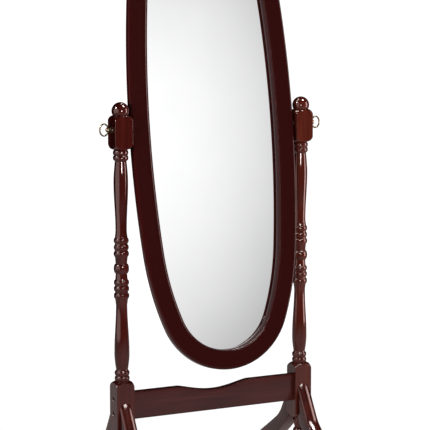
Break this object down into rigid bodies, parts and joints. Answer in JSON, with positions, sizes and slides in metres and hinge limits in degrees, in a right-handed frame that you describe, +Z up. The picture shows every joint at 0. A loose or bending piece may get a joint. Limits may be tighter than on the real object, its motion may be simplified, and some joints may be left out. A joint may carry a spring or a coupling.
{
  "type": "cheval floor mirror",
  "caption": "Tall oval mirror in a dark cherry frame that tilts between two turned posts with curved legs, a scooped stretcher and ring-headed thumb screws.",
  "frame": {"origin": "on the floor, midway between the two posts and under the tilt axis", "axes": "+Z up, +X from the left post to the right post as seen from in front, +Y to the back; the mirror faces -Y"},
  "size_m": [0.6412, 0.52, 1.5571],
  "materials": {
    "cherry_frame": "dark red-brown cherry stain under gloss lacquer",
    "cherry_post": "red-brown cherry stain under gloss lacquer",
    "cherry_rail": "red-brown cherry stain under satin lacquer, grain along the rail",
    "cherry_leg": "red-brown cherry stain under gloss lacquer",
    "silvered_glass": "clear float glass, silvered behind",
    "hardboard": "plain brown hardboard, matt",
    "antique_brass": "aged brass, satin",
    "yellow_brass": "plain turned brass",
    "black_steel": "black oxide",
    "zinc_steel": "bright zinc plate",
    "beech_dowel": "raw beech, fluting left out",
    "nylon": "dark brown nylon"
  },
  "bodies": {
    "stand": {"barrel_nut_left_lower": "zinc_steel", "barrel_nut_left_upper": "zinc_steel", "barrel_nut_right_lower": "zinc_steel", "barrel_nut_right_upper": "zinc_steel", "foot_glide_left_front": "nylon", "foot_glide_left_rear": "nylon", "foot_glide_right_front": "nylon", "foot_glide_right_rear": "nylon", "leg_dowel_left_front_lower": "beech_dowel", "leg_dowel_left_front_upper": "beech_dowel", "leg_dowel_left_rear_lower": "beech_dowel", "leg_dowel_left_rear_upper": "beech_dowel", "leg_dowel_right_front_lower": "beech_dowel", "leg_dowel_right_front_upper": "beech_dowel", "leg_dowel_right_rear_lower": "beech_dowel", "leg_dowel_right_rear_upper": "beech_dowel", "leg_left_front": "cherry_leg", "leg_left_rear": "cherry_leg", "leg_right_front": "cherry_leg", "leg_right_rear": "cherry_leg", "post_left": "cherry_post", "post_right": "cherry_post", "spacer_left": "nylon", "spacer_right": "nylon", "stretcher": "cherry_rail", "stretcher_bolt_left_lower": "black_steel", "stretcher_bolt_left_upper": "black_steel", "stretcher_bolt_right_lower": "black_steel", "stretcher_bolt_right_upper": "black_steel"},
    "mirror": {"back_plate_1": "zinc_steel", "back_plate_2": "zinc_steel", "back_plate_3": "zinc_steel", "back_plate_4": "zinc_steel", "back_plate_5": "zinc_steel", "back_plate_6": "zinc_steel", "back_plate_screw_1": "zinc_steel", "back_plate_screw_2": "zinc_steel", "back_plate_screw_3": "zinc_steel", "back_plate_screw_4": "zinc_steel", "back_plate_screw_5": "zinc_steel", "back_plate_screw_6": "zinc_steel", "backing_board": "hardboard", "mirror_frame": "cherry_frame", "mirror_glass": "silvered_glass", "threaded_insert_left": "yellow_brass", "threaded_insert_right": "yellow_brass"},
    "washer_left": {"washer_left": "antique_brass"},
    "washer_right": {"washer_right": "antique_brass"},
    "screw_left": {"thumb_screw_left": "antique_brass"},
    "screw_right": {"thumb_screw_right": "antique_brass"}
  },
  "joints": [
    {"name": "mirror_tilt", "type": "hinge", "parent": "stand", "child": "mirror", "pos_m": [0, 0, 0.93], "axis": [1, 0, 0], "continuous": true},
    {"name": "washer_slide_left", "type": "slide", "parent": "stand", "child": "washer_left", "axis": [-1, 0, 0], "range_m": [0, 0.002]},
    {"name": "thumb_turn_left", "type": "hinge", "parent": "washer_left", "child": "screw_left", "pos_m": [-0.2863, 0, 0.93], "axis": [-1, 0, 0], "range_deg": [0, 722]},
    {"name": "washer_slide_right", "type": "slide", "parent": "stand", "child": "washer_right", "axis": [1, 0, 0], "range_m": [0, 0.002]},
    {"name": "thumb_turn_right", "type": "hinge", "parent": "washer_right", "child": "screw_right", "pos_m": [0.2863, 0, 0.93], "axis": [1, 0, 0], "range_deg": [0, 722]}
  ],
  "couplings": [
    {"joint": "thumb_turn_left", "follows": "washer_slide_left", "rad_per_m": 6283.2},
    {"joint": "thumb_turn_right", "follows": "washer_slide_right", "rad_per_m": 6283.2}
  ]
}
